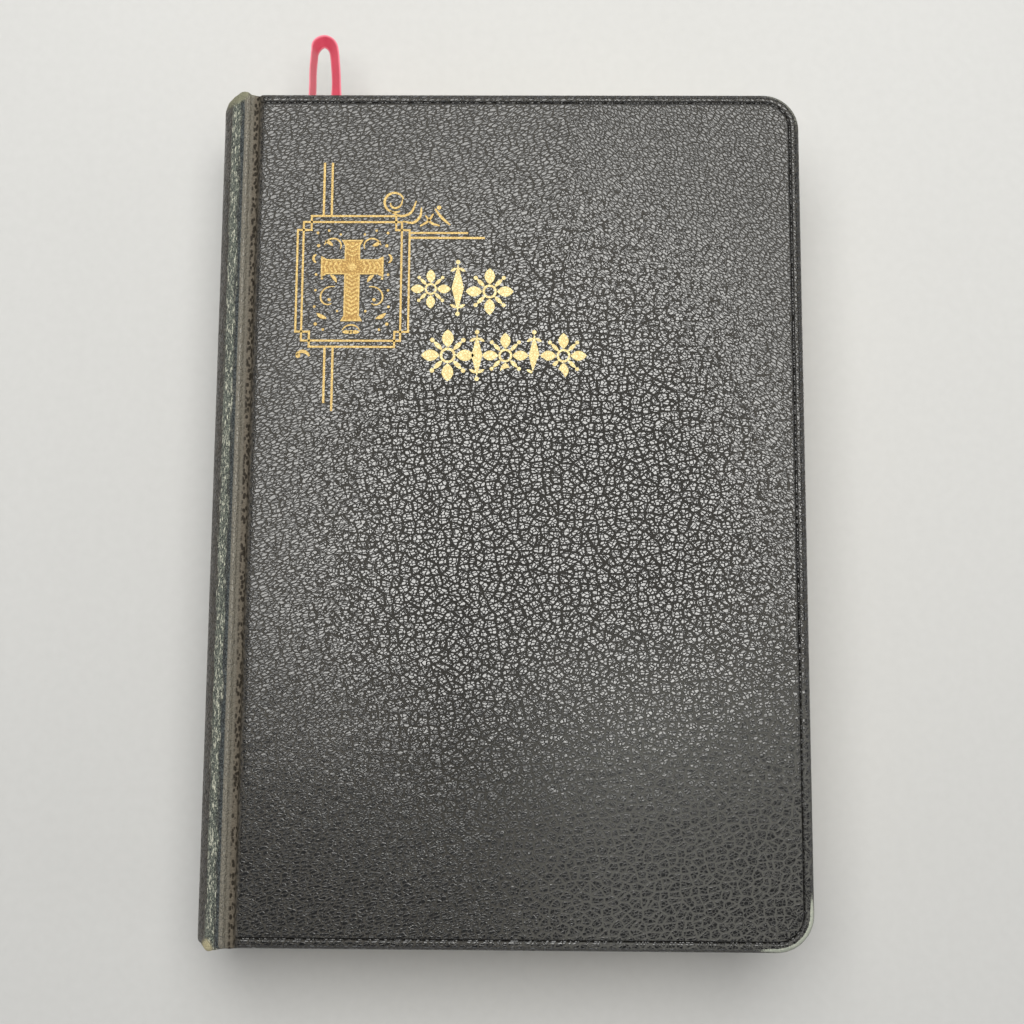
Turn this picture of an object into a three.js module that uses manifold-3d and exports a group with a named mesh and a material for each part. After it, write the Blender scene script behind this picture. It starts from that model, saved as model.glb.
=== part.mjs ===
// A leather-bound Bible, closed and lying on its back cover.
// Millimetres. +X runs from the spine to the fore-edge, +Y from the tail to the head, and +Z from
// the back cover up to the front cover. The origin is under the middle of the back cover.
import * as THREE from "three";
import { mergeVertices } from "three/addons/utils/BufferGeometryUtils.js";
import Module from "manifold-3d";

const wasm = await Module();
wasm.setup();

// Whole book
const BOOK_WIDTH = 148;
const BOOK_HEIGHT = 210;
const BOOK_THICKNESS = 36;
const FORE_EDGE = BOOK_WIDTH / 2;
const SPINE_EDGE = -FORE_EDGE;
const HALF_HEIGHT = BOOK_HEIGHT / 2;
const MID_HEIGHT = BOOK_THICKNESS / 2;

// Covers: layers are named by how deep they lie under the cover's outer face
const COVER_START = SPINE_EDGE + 12;
const CORNER_RADIUS = 9;
const LEATHER_THICKNESS = 0.85;
const BOARD_DEPTH = 1.0;
const BOARD_THICKNESS = 2.1;
const BOARD_INSET = 1.0;
const PASTEDOWN_DEPTH = 3.2;
const PASTEDOWN_INSET = 2.5;
const PAPER_THICKNESS = 0.2;
const TURN_IN_DEPTH = 3.1;

// Page block
const SQUARE = 3.5;               // how far the covers stand out past the pages
const BLOCK_DEPTH = 3.9;          // outer face of the cover to the first section
const BLOCK_HALF_HEIGHT = HALF_HEIGHT - SQUARE;
const PAGE_CORNER_RADIUS = 7;
const SECTION_COUNT = 24;
const SECTION_GAP = 0.15;
const RIBBON_CHANNEL = 0.7;       // space between the two middle sections for the ribbon

// Rounded spine: every layer is an arc about one centre line
const SPINE_BULGE = 7;
const FORE_EDGE_HOLLOW = 0.55;    // the fore-edge's hollow as a share of the spine's bulge
const BLOCK_SPINE = SPINE_EDGE + 2.4;
const BLOCK_HALF_THICKNESS = MID_HEIGHT - BLOCK_DEPTH;
const BLOCK_RADIUS = (BLOCK_HALF_THICKNESS ** 2 + SPINE_BULGE ** 2) / (2 * SPINE_BULGE);
const SPINE_CENTRE = BLOCK_SPINE + BLOCK_RADIUS;
const MULL = { from: 0.12, to: 0.32, reach: 13.4, halfLength: 92 };
const LINING = { from: 0.44, to: 0.74, reach: 13.6, halfLength: 101 };
const INLAY = { from: 0.86, to: 1.46, reach: 13.4, halfLength: 103.5 };
const SPINE_LEATHER = { from: 1.6, to: 2.4 };
const SHOULDER_REACH = 15.6;      // where the outer arc ends and the shoulder turns to the groove
const SHOULDER_TOP = 16.8;
const GROOVE_FLOOR = { outer: 15.35, inner: 14.6, start: COVER_START - 2.2, end: COVER_START - 0.4 };
const CAP_THICKNESS = 0.8;
const CAP_DEPTH = 1.4;            // how far the leather caps turn in over the spine's layers

// Endpapers: a stub that is glued to the block, and the free leaf that turns beside it
const FOLD_X = COVER_START + 0.5;
const FLYLEAF_DEPTH = 3.55;
const FOLD_CLEARANCE = 0.2;

// Endbands
const ENDBAND_RADIUS = 0.75;
const ENDBAND_ARC_INSET = 0.9;
const ENDBAND_HALF_ANGLE = 0.78;

// Ribbon marker
const RIBBON_WIDTH = 3.6;
const RIBBON_THICKNESS = 0.4;
const RIBBON_ROUTE = [
  [-61.5, 103.8], [-57.5, 104], [-54, 105.6], [-51.9, 109], [-51.5, 114], [-51.5, 120],
  [-50.8, 125], [-48.6, 127.5], [-46.3, 125.2], [-45.3, 120], [-45.2, 113], [-45.2, 106],
  [-44.9, 99], [-43.5, 82], [-41, 57], [-38.5, 29], [-37, 0], [-36, -30], [-35.5, -60], [-35, -90],
];

// Gold stamping on the front cover
const FOIL_CENTRE = new THREE.Vector2(-37.4, 56);
const FOIL_THICKNESS = 0.1;
const FOIL_CLEARANCE = 0.05;
const FOIL_FRAME = { width: 28, height: 30, rule: 1 };
const FOIL_CROSS = { width: 11, height: 17, bar: 2.6, armRise: 2.6 };

const MATERIALS = {
  leather: { color: 0x1d1b1a, roughness: 0.42, metalness: 0 },
  board: { color: 0x8f7f68, roughness: 0.9, metalness: 0 },
  endpaper: { color: 0xd9cdb4, roughness: 0.9, metalness: 0 },
  pages: { color: 0xe4dac2, roughness: 0.9, metalness: 0 },
  mull: { color: 0xd8d2c0, roughness: 1, metalness: 0 },
  lining: { color: 0xa98a5e, roughness: 0.95, metalness: 0 },
  endband: { color: 0xb9a05a, roughness: 0.7, metalness: 0 },
  ribbon: { color: 0xb5404a, roughness: 0.6, metalness: 0 },
  foil: { color: 0xd9b25f, roughness: 0.35, metalness: 0.9 },
};

const book = new THREE.Group();

function addMesh(name, geometry, material) {
  const mesh = new THREE.Mesh(geometry, new THREE.MeshStandardMaterial(MATERIALS[material]));
  mesh.name = name;
  book.add(mesh);
}

// Joining and cutting

function toSolid(geometry) {
  const bare = geometry.clone();
  bare.deleteAttribute("normal");
  bare.deleteAttribute("uv");
  const merged = mergeVertices(bare, 1e-4);
  return new wasm.Manifold(new wasm.Mesh({
    numProp: 3,
    vertProperties: new Float32Array(merged.attributes.position.array),
    triVerts: new Uint32Array(merged.index.array),
  }));
}

function toGeometry(solid) {
  const mesh = solid.getMesh();
  const geometry = new THREE.BufferGeometry();
  geometry.setAttribute("position", new THREE.BufferAttribute(mesh.vertProperties, 3));
  geometry.setIndex(new THREE.BufferAttribute(mesh.triVerts, 1));
  geometry.computeVertexNormals();
  return geometry;
}

// Basic forms

// A leaf's outline: straight at the spine side, rounded at the two fore-edge corners.
function leafOutline(left, right, halfHeight, radius) {
  const outline = new THREE.Shape();
  outline.moveTo(left, -halfHeight);
  outline.lineTo(right - radius, -halfHeight);
  outline.absarc(right - radius, -halfHeight + radius, radius, -Math.PI / 2, 0, false);
  outline.absarc(right - radius, halfHeight - radius, radius, 0, Math.PI / 2, false);
  outline.lineTo(left, halfHeight);
  outline.closePath();
  return outline;
}

function rectangle(left, bottom, right, top) {
  const shape = new THREE.Shape();
  shape.moveTo(left, bottom);
  shape.lineTo(right, bottom);
  shape.lineTo(right, top);
  shape.lineTo(left, top);
  shape.closePath();
  return shape;
}

function slab(outline, bottom, thickness) {
  const options = { depth: thickness, bevelEnabled: false, curveSegments: 8 };
  return new THREE.ExtrudeGeometry(outline, options).translate(0, 0, bottom);
}

// A profile drawn in X and Z, drawn out along Y.
function prismAlongY(profile, from, to) {
  const options = { depth: to - from, bevelEnabled: false, curveSegments: 24 };
  return new THREE.ExtrudeGeometry(profile, options).rotateX(Math.PI / 2).translate(0, to, 0);
}

// The lower face of a layer that lies `depth` under one cover's outer face.
function layerBottom(side, depth, thickness) {
  return side === "front" ? BOOK_THICKNESS - depth - thickness : depth;
}

// The page block's spine at height z.
function blockSpineAt(z) {
  return SPINE_CENTRE - Math.sqrt(BLOCK_RADIUS ** 2 - (z - MID_HEIGHT) ** 2);
}

// A band wrapped round the spine, `from` to `to` outside the page block and `reach` up and down
// from mid-height.
function spineBand({ from, to, reach }, halfLength) {
  const inner = BLOCK_RADIUS + from;
  const outer = BLOCK_RADIUS + to;
  const innerAngle = Math.asin(reach / inner);
  const outerAngle = Math.asin(reach / outer);
  const profile = new THREE.Shape();
  profile.absarc(SPINE_CENTRE, MID_HEIGHT, outer, Math.PI - outerAngle, Math.PI + outerAngle, false);
  profile.absarc(SPINE_CENTRE, MID_HEIGHT, inner, Math.PI + innerAngle, Math.PI - innerAngle, true);
  profile.closePath();
  return prismAlongY(profile, -halfLength, halfLength);
}

// Covers

// The leather skin: a shallow tray turned over the board's head, tail and fore-edge.
function coverLeather(side) {
  const outline = leafOutline(COVER_START, FORE_EDGE, HALF_HEIGHT, CORNER_RADIUS);
  const skin = slab(outline, layerBottom(side, 0, TURN_IN_DEPTH), TURN_IN_DEPTH);
  const inset = LEATHER_THICKNESS;
  const pocketOutline = leafOutline(
    COVER_START - inset, FORE_EDGE - inset, HALF_HEIGHT - inset, CORNER_RADIUS - inset);
  const pocketDepth = TURN_IN_DEPTH - LEATHER_THICKNESS;
  const overshoot = 1;
  const bottom = layerBottom(side, LEATHER_THICKNESS, pocketDepth + overshoot);
  const pocket = slab(pocketOutline, bottom, pocketDepth + overshoot);
  return toGeometry(toSolid(skin).subtract(toSolid(pocket)));
}

function coverBoard(side) {
  const outline = leafOutline(
    COVER_START + 0.2, FORE_EDGE - BOARD_INSET, HALF_HEIGHT - BOARD_INSET,
    CORNER_RADIUS - BOARD_INSET);
  return slab(outline, layerBottom(side, BOARD_DEPTH, BOARD_THICKNESS), BOARD_THICKNESS);
}

function pastedown(side) {
  const outline = leafOutline(
    COVER_START + 0.5, FORE_EDGE - PASTEDOWN_INSET, HALF_HEIGHT - PASTEDOWN_INSET,
    PAGE_CORNER_RADIUS);
  return slab(outline, layerBottom(side, PASTEDOWN_DEPTH, PAPER_THICKNESS), PAPER_THICKNESS);
}

// Endpapers

function addEndpapers(side) {
  const stubStart = blockSpineAt(MID_HEIGHT + BLOCK_HALF_THICKNESS) + 0.3;
  const bottom = layerBottom(side, FLYLEAF_DEPTH, PAPER_THICKNESS);
  const stub = rectangle(stubStart, -BLOCK_HALF_HEIGHT, FOLD_X - FOLD_CLEARANCE, BLOCK_HALF_HEIGHT);
  const leaf = leafOutline(
    FOLD_X + FOLD_CLEARANCE, FORE_EDGE - SQUARE, BLOCK_HALF_HEIGHT, PAGE_CORNER_RADIUS);
  addMesh(`${side}_endpaper_stub`, slab(stub, bottom, PAPER_THICKNESS), "endpaper");
  addMesh(`${side}_flyleaf`, slab(leaf, bottom, PAPER_THICKNESS), "endpaper");
}

// Page block

// The page block's fore-edge at height z.
function blockForeEdgeAt(z) {
  const bulge = blockSpineAt(MID_HEIGHT + BLOCK_HALF_THICKNESS) - blockSpineAt(z);
  return FORE_EDGE - SQUARE - FORE_EDGE_HOLLOW * bulge;
}

// One folded section: a slab whose spine and fore-edge lean with the block's rounding.
function section(bottom, top) {
  const middle = (bottom + top) / 2;
  const left = blockSpineAt(middle);
  const right = blockForeEdgeAt(middle);
  const spineLean = (blockSpineAt(top) - blockSpineAt(bottom)) / (top - bottom);
  const foreLean = (blockForeEdgeAt(top) - blockForeEdgeAt(bottom)) / (top - bottom);
  const outline = leafOutline(left, right, BLOCK_HALF_HEIGHT, PAGE_CORNER_RADIUS);
  const geometry = slab(outline, bottom, top - bottom);
  const positions = geometry.attributes.position;
  for (let i = 0; i < positions.count; i += 1) {
    const x = positions.getX(i);
    const across = (x - left) / (right - left);
    const lean = spineLean + (foreLean - spineLean) * across;
    positions.setX(i, x + lean * (positions.getZ(i) - middle));
  }
  geometry.computeVertexNormals();
  return geometry;
}

function addSections() {
  const half = SECTION_COUNT / 2;
  const gaps = (SECTION_COUNT - 2) * SECTION_GAP + RIBBON_CHANNEL;
  const thickness = (2 * BLOCK_HALF_THICKNESS - gaps) / SECTION_COUNT;
  for (let i = 0; i < SECTION_COUNT; i += 1) {
    const channel = i >= half ? RIBBON_CHANNEL - SECTION_GAP : 0;
    const bottom = BLOCK_DEPTH + i * (thickness + SECTION_GAP) + channel;
    const number = String(i + 1).padStart(2, "0");
    addMesh(`section_${number}`, section(bottom, bottom + thickness), "pages");
  }
}

// Spine

// The leather over the spine: an arc that rolls over each shoulder into the joint's groove.
function spineLeatherProfile() {
  const outer = BLOCK_RADIUS + SPINE_LEATHER.to;
  const inner = BLOCK_RADIUS + SPINE_LEATHER.from;
  const outerAngle = Math.asin(SHOULDER_REACH / outer);
  const innerAngle = Math.asin(GROOVE_FLOOR.inner / inner);
  const crestX = SPINE_CENTRE - outer * Math.cos(outerAngle) + 1;
  const { start, end } = GROOVE_FLOOR;
  const profile = new THREE.Shape();
  profile.moveTo(end, MID_HEIGHT + GROOVE_FLOOR.outer);
  profile.lineTo(start, MID_HEIGHT + GROOVE_FLOOR.outer);
  profile.quadraticCurveTo(
    crestX, MID_HEIGHT + SHOULDER_TOP,
    SPINE_CENTRE - outer * Math.cos(outerAngle), MID_HEIGHT + SHOULDER_REACH);
  profile.absarc(SPINE_CENTRE, MID_HEIGHT, outer, Math.PI - outerAngle, Math.PI + outerAngle, false);
  profile.quadraticCurveTo(
    crestX, MID_HEIGHT - SHOULDER_TOP, start, MID_HEIGHT - GROOVE_FLOOR.outer);
  profile.lineTo(end, MID_HEIGHT - GROOVE_FLOOR.outer);
  profile.lineTo(end, MID_HEIGHT - GROOVE_FLOOR.inner);
  profile.absarc(SPINE_CENTRE, MID_HEIGHT, inner, Math.PI + innerAngle, Math.PI - innerAngle, true);
  profile.lineTo(end, MID_HEIGHT + GROOVE_FLOOR.inner);
  profile.closePath();
  return profile;
}

function spineLeather() {
  const cap = { from: SPINE_LEATHER.to - 0.4 - CAP_DEPTH, to: SPINE_LEATHER.to - 0.4, reach: 13 };
  const capBand = toSolid(spineBand(cap, HALF_HEIGHT));
  const opening = toSolid(prismAlongY(
    rectangle(SPINE_EDGE - 1, 0, GROOVE_FLOOR.end, BOOK_THICKNESS),
    -HALF_HEIGHT + CAP_THICKNESS, HALF_HEIGHT - CAP_THICKNESS));
  const caps = capBand.subtract(opening);
  return toGeometry(toSolid(prismAlongY(spineLeatherProfile(), -HALF_HEIGHT, HALF_HEIGHT)).add(caps));
}

// A rolled endband that stands on the block's head or tail along the spine.
function endband(end) {
  const radius = BLOCK_RADIUS - ENDBAND_ARC_INSET;
  const y = end * (BLOCK_HALF_HEIGHT + ENDBAND_RADIUS + 0.15);
  const points = [];
  const steps = 8;
  for (let i = 0; i <= steps; i += 1) {
    const angle = ENDBAND_HALF_ANGLE * (2 * i / steps - 1);
    points.push(new THREE.Vector3(
      SPINE_CENTRE - radius * Math.cos(angle), y, MID_HEIGHT + radius * Math.sin(angle)));
  }
  const bead = new THREE.Shape().absarc(0, 0, ENDBAND_RADIUS, 0, 2 * Math.PI, false);
  const extrudePath = new THREE.CatmullRomCurve3(points);
  return new THREE.ExtrudeGeometry(bead, { extrudePath, steps: 16, curveSegments: 5 });
}

// Ribbon marker: flat between the two middle sections, with its loop out past the head.
function ribbon() {
  const points = RIBBON_ROUTE.map(([x, y]) => new THREE.Vector3(x, y, MID_HEIGHT));
  const extrudePath = new THREE.CatmullRomCurve3(points);
  const flat = new THREE.Shape();
  flat.absellipse(0, 0, RIBBON_THICKNESS / 2, RIBBON_WIDTH / 2, 0, 2 * Math.PI, false, 0);
  return new THREE.ExtrudeGeometry(flat, { extrudePath, steps: 60, curveSegments: 4 });
}

// Gold stamping

function foilFrame() {
  const { width, height, rule } = FOIL_FRAME;
  const { x, y } = FOIL_CENTRE;
  const frame = rectangle(x - width / 2, y - height / 2, x + width / 2, y + height / 2);
  const inside = rectangle(
    x - width / 2 + rule, y - height / 2 + rule, x + width / 2 - rule, y + height / 2 - rule);
  frame.holes.push(inside);
  return slab(frame, BOOK_THICKNESS + FOIL_CLEARANCE, FOIL_THICKNESS);
}

function foilCross() {
  const { width, height, bar, armRise } = FOIL_CROSS;
  const { x, y } = FOIL_CENTRE;
  const corners = [
    [-bar / 2, -height / 2], [bar / 2, -height / 2], [bar / 2, armRise - bar / 2],
    [width / 2, armRise - bar / 2], [width / 2, armRise + bar / 2], [bar / 2, armRise + bar / 2],
    [bar / 2, height / 2], [-bar / 2, height / 2], [-bar / 2, armRise + bar / 2],
    [-width / 2, armRise + bar / 2], [-width / 2, armRise - bar / 2],
    [-bar / 2, armRise - bar / 2],
  ];
  const cross = new THREE.Shape(corners.map(([dx, dy]) => new THREE.Vector2(x + dx, y + dy)));
  return slab(cross, BOOK_THICKNESS + FOIL_CLEARANCE, FOIL_THICKNESS);
}

// Assembly

for (const side of ["front", "back"]) {
  addMesh(`${side}_cover_leather`, coverLeather(side), "leather");
  addMesh(`${side}_board`, coverBoard(side), "board");
  addMesh(`${side}_pastedown`, pastedown(side), "endpaper");
  addEndpapers(side);
}
addSections();
addMesh("spine_mull", spineBand(MULL, MULL.halfLength), "mull");
addMesh("spine_lining", spineBand(LINING, LINING.halfLength), "lining");
addMesh("spine_inlay", spineBand(INLAY, INLAY.halfLength), "board");
addMesh("spine_leather", spineLeather(), "leather");
addMesh("head_band", endband(1), "endband");
addMesh("tail_band", endband(-1), "endband");
addMesh("ribbon_marker", ribbon(), "ribbon");
addMesh("foil_frame", foilFrame(), "foil");
addMesh("foil_cross", foilCross(), "foil");

export default book;
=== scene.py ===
"""A leather-bound bible that lies closed on its back cover, with a stamped front and a marker ribbon."""

import math
import random

import bpy
import numpy as np
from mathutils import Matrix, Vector, noise


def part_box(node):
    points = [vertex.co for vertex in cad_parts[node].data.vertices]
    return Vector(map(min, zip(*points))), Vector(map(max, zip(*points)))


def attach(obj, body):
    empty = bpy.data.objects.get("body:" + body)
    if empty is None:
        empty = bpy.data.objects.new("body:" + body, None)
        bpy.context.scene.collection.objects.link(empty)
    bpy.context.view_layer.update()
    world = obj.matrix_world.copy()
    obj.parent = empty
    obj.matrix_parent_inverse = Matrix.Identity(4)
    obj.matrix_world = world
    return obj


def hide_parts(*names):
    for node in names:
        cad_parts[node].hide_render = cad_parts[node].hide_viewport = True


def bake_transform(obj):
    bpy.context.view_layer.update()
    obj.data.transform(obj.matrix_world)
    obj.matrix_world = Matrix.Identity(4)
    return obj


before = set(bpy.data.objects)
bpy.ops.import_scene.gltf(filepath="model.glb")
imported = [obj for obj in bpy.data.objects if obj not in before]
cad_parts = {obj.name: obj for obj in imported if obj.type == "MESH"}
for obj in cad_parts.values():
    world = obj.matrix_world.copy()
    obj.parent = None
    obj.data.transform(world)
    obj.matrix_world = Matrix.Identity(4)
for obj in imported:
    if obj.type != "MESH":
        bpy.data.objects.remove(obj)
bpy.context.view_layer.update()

MM = 0.001
SEED = 7

# Driving dimensions, in millimetres. +X runs from the spine to the fore-edge, +Y to the head.

HALF_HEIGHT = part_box("front_cover_leather")[1].y / MM
FORE_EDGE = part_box("front_cover_leather")[1].x / MM
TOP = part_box("front_cover_leather")[1].z / MM
MIDDLE = TOP / 2

# The square at each fore corner in which a plate's edge rings bend round.
CORNER_BLOCK = 12.0
CORNER_RADIUS = 9.0
PAGE_RADIUS = 7.0

SPINE_CENTRE_X = -53.9
SPINE_RADIUS = 20.1
SPINE_ARC_RISE = 15.6

PAGE_FORE_EDGE = 70.5
PAGE_HOLLOW = 3.85
PAGE_HALF_HEIGHT = 101.5
BLOCK_RADIUS = 17.7
BLOCK_HALF = 14.1

# The endpapers' fold, and the depths and thicknesses of their two halves.
FOLD_X = -64.45
PASTEDOWN_DEPTH = 3.29
PASTEDOWN_THICKNESS = 0.16
FLYLEAF_DEPTH = 3.50
FLYLEAF_THICKNESS = 0.12

RIBBON_WIDTH = 3.4
RIBBON_THICKNESS = 0.3
RIBBON_Z = 18.0
RIBBON_ROUTE = [
    (-61.5, 103.8), (-57.5, 104.0), (-54.0, 105.6), (-51.9, 109.0), (-51.6, 114.0),
    (-51.6, 119.0), (-51.4, 122.5), (-51.2, 124.6), (-50.75, 126.0), (-49.9, 126.9),
    (-48.7, 127.3), (-47.5, 126.9), (-46.6, 126.0), (-46.05, 124.6), (-45.65, 121.5),
    (-45.3, 117.0), (-45.2, 112.0), (-45.2, 106.0), (-44.9, 99.0), (-43.5, 82.0), (-41.0, 57.0),
    (-38.5, 29.0), (-37.0, 0.0), (-36.0, -30.0), (-35.5, -60.0), (-35.0, -90.0),
]

# Where the ribbon goes in between the pages, and the places beside it where its channel bends.
RIBBON_ENTRY = -45.1
RIBBON_GAP = (-4.4, -3.0, -2.0, 0.0, 2.0, 3.0, 4.4)

# Foil rectangles, as low x, low y, high x, high y.
FRAME_WIDE = (-51.35, 43.06, -23.46, 69.04)
FRAME_MIDDLE = (-49.9, 40.8, -25.4, 71.1)
FRAME_TALL = (-47.94, 39.25, -26.85, 72.66)
CROSS_X = -37.6
FOIL_LOW = TOP - 0.06
FOIL_HIGH = TOP + 0.05


# ---- Camera ----

def make_camera():
    """The camera looks almost straight down at the front cover."""
    data = bpy.data.cameras.new("camera")
    data.sensor_width = 36.0
    data.lens = 49.22
    camera = bpy.data.objects.new("camera", data)
    camera.location = (0.00680, -0.04503, 0.37261)
    camera.rotation_euler = (0.12839, 0.01189, 0.00676)
    bpy.context.collection.objects.link(camera)
    bpy.context.scene.camera = camera


# ---- Mesh helpers ----

def smoothstep(low, high, value):
    """Eases from 0 at low to 1 at high."""
    t = min(max((value - low) / (high - low), 0.0), 1.0)
    return t * t * (3 - 2 * t)


def mesh_object(name, points, faces, smooth=True):
    """A mesh object from points in millimetres."""
    mesh = bpy.data.meshes.new(name)
    mesh.from_pydata([tuple(c * MM for c in p) for p in points], [], faces)
    mesh.validate()
    mesh.update()
    if smooth:
        mesh.polygons.foreach_set("use_smooth", [True] * len(mesh.polygons))
    obj = bpy.data.objects.new(name, mesh)
    bpy.context.collection.objects.link(obj)
    return obj


def grid_faces(rows, columns, start=0, flip=False, closed_columns=False):
    """Quads of a rows by columns grid whose points are numbered row by row."""
    faces = []
    wide = columns if closed_columns else columns - 1
    for r in range(rows - 1):
        for c in range(wide):
            d = (c + 1) % columns
            quad = (
                start + r * columns + c,
                start + r * columns + d,
                start + (r + 1) * columns + d,
                start + (r + 1) * columns + c,
            )
            faces.append(quad[::-1] if flip else quad)
    return faces


def shell_faces(rows, columns, flip=False):
    """Faces of a thin shell: a grid, a second one whose points follow its own, and the rim."""
    count = rows * columns
    rim = list(range(columns))
    rim += [r * columns + columns - 1 for r in range(1, rows)]
    rim += [(rows - 1) * columns + c for c in range(columns - 2, -1, -1)]
    rim += [r * columns for r in range(rows - 2, 0, -1)]
    faces = grid_faces(rows, columns, flip=flip)
    faces += grid_faces(rows, columns, start=count, flip=not flip)
    for a, b in zip(rim, rim[1:] + rim[:1]):
        faces.append((a, b, b + count, a + count) if flip else (a, a + count, b + count, b))
    return faces


def tube_faces(rings, sides):
    """Faces of a closed tube whose points are numbered ring by ring."""
    count = rings * sides
    caps = [tuple(range(sides)), tuple(range(count - sides, count))[::-1]]
    return grid_faces(rings, sides, closed_columns=True) + caps


def heading(path, i):
    """The way a path runs at its point i, from the point before to the point after."""
    return path[min(i + 1, len(path) - 1)] - path[max(i - 1, 0)]


def add_attributes(obj, **layers):
    """Named floats for each point, which materials can read."""
    for name, values in layers.items():
        layer = obj.data.attributes.new(name, "FLOAT", "POINT")
        layer.data.foreach_set("value", values)


def finish_piece(obj, material, slot, *nodes):
    """Gives a piece its material and hides the CAD nodes it stands for."""
    obj.data.materials.append(material)
    if nodes:
        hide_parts(*nodes)


def spaced(low, high, step):
    """Evenly spaced values from low to high, about a step apart."""
    return list(np.linspace(low, high, max(2, round((high - low) / step) + 1)))


def corner_point(row_ring, column_ring, rings, radius):
    """A round corner's point, as x and y past the corner block's inner corner, and its ring."""
    ring = max(row_ring, column_ring)
    inset = rings[ring]
    reach = CORNER_BLOCK - inset
    bend = max(radius - inset, 0.0)
    along = min(row_ring, column_ring) / ring * (reach - bend + bend * math.pi / 4)
    if along <= reach - bend:
        far, near = reach, along
    else:
        angle = (along - reach + bend) / bend
        far = reach - bend + bend * math.cos(angle)
        near = reach - bend + bend * math.sin(angle)
    return (far, near, ring) if column_ring >= row_ring else (near, far, ring)


def panel(x_lines, x_end, half_height, radius, rings, step):
    """A plate's plan: rows of (x, y, ring), with round corners at the fore-edge.

    rings lists each edge ring's inset from the outline, from CORNER_BLOCK outwards.
    """
    edge = range(1, len(rings))
    inner_rows = spaced(-half_height + CORNER_BLOCK, half_height - CORNER_BLOCK, step)
    rows = [(-1, k) for k in reversed(edge)] + [(0, y) for y in inner_rows] + [(1, k) for k in edge]
    columns = [(x, 0) for x in x_lines] + [(x_end - inset, k) for k, inset in enumerate(rings)]
    points = []
    for side, value in rows:
        for x, column_ring in columns:
            if side and column_ring:
                dx, dy, ring = corner_point(value, column_ring, rings, radius)
                y = side * (half_height - CORNER_BLOCK + dy)
                points.append((x_end - CORNER_BLOCK + dx, y, ring))
            elif side:
                points.append((x, side * (half_height - rings[value]), value))
            else:
                points.append((x, value, column_ring))
    return points, len(rows), len(columns)


def tube(points, radius_at, sides=10):
    """Points and faces of a closed tube along a polyline, with a radius for each point."""
    path = [Vector(p) for p in points]
    out = []
    for i, p in enumerate(path):
        ahead = heading(path, i).normalized()
        side = ahead.cross(Vector((0, 1, 0))).normalized()
        up = side.cross(ahead)
        for k in range(sides):
            a = 2 * math.pi * k / sides
            out.append(p + radius_at(i) * (math.cos(a) * side + math.sin(a) * up))
    return out, tube_faces(len(path), sides)


def smooth_path(points, per_span):
    """A Catmull-Rom curve through the points."""
    p = [np.array(q, float) for q in points]
    p = [2 * p[0] - p[1]] + p + [2 * p[-1] - p[-2]]
    out = []
    for i in range(1, len(p) - 2):
        a, b, c, d = p[i - 1], p[i], p[i + 1], p[i + 2]
        for k in range(per_span):
            t = k / per_span
            out.append(0.5 * (
                2 * b + (c - a) * t + (2 * a - 5 * b + 4 * c - d) * t * t
                + (3 * b - a - 3 * c + d) * t ** 3
            ))
    out.append(p[-2])
    return out


# ---- Materials ----

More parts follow.
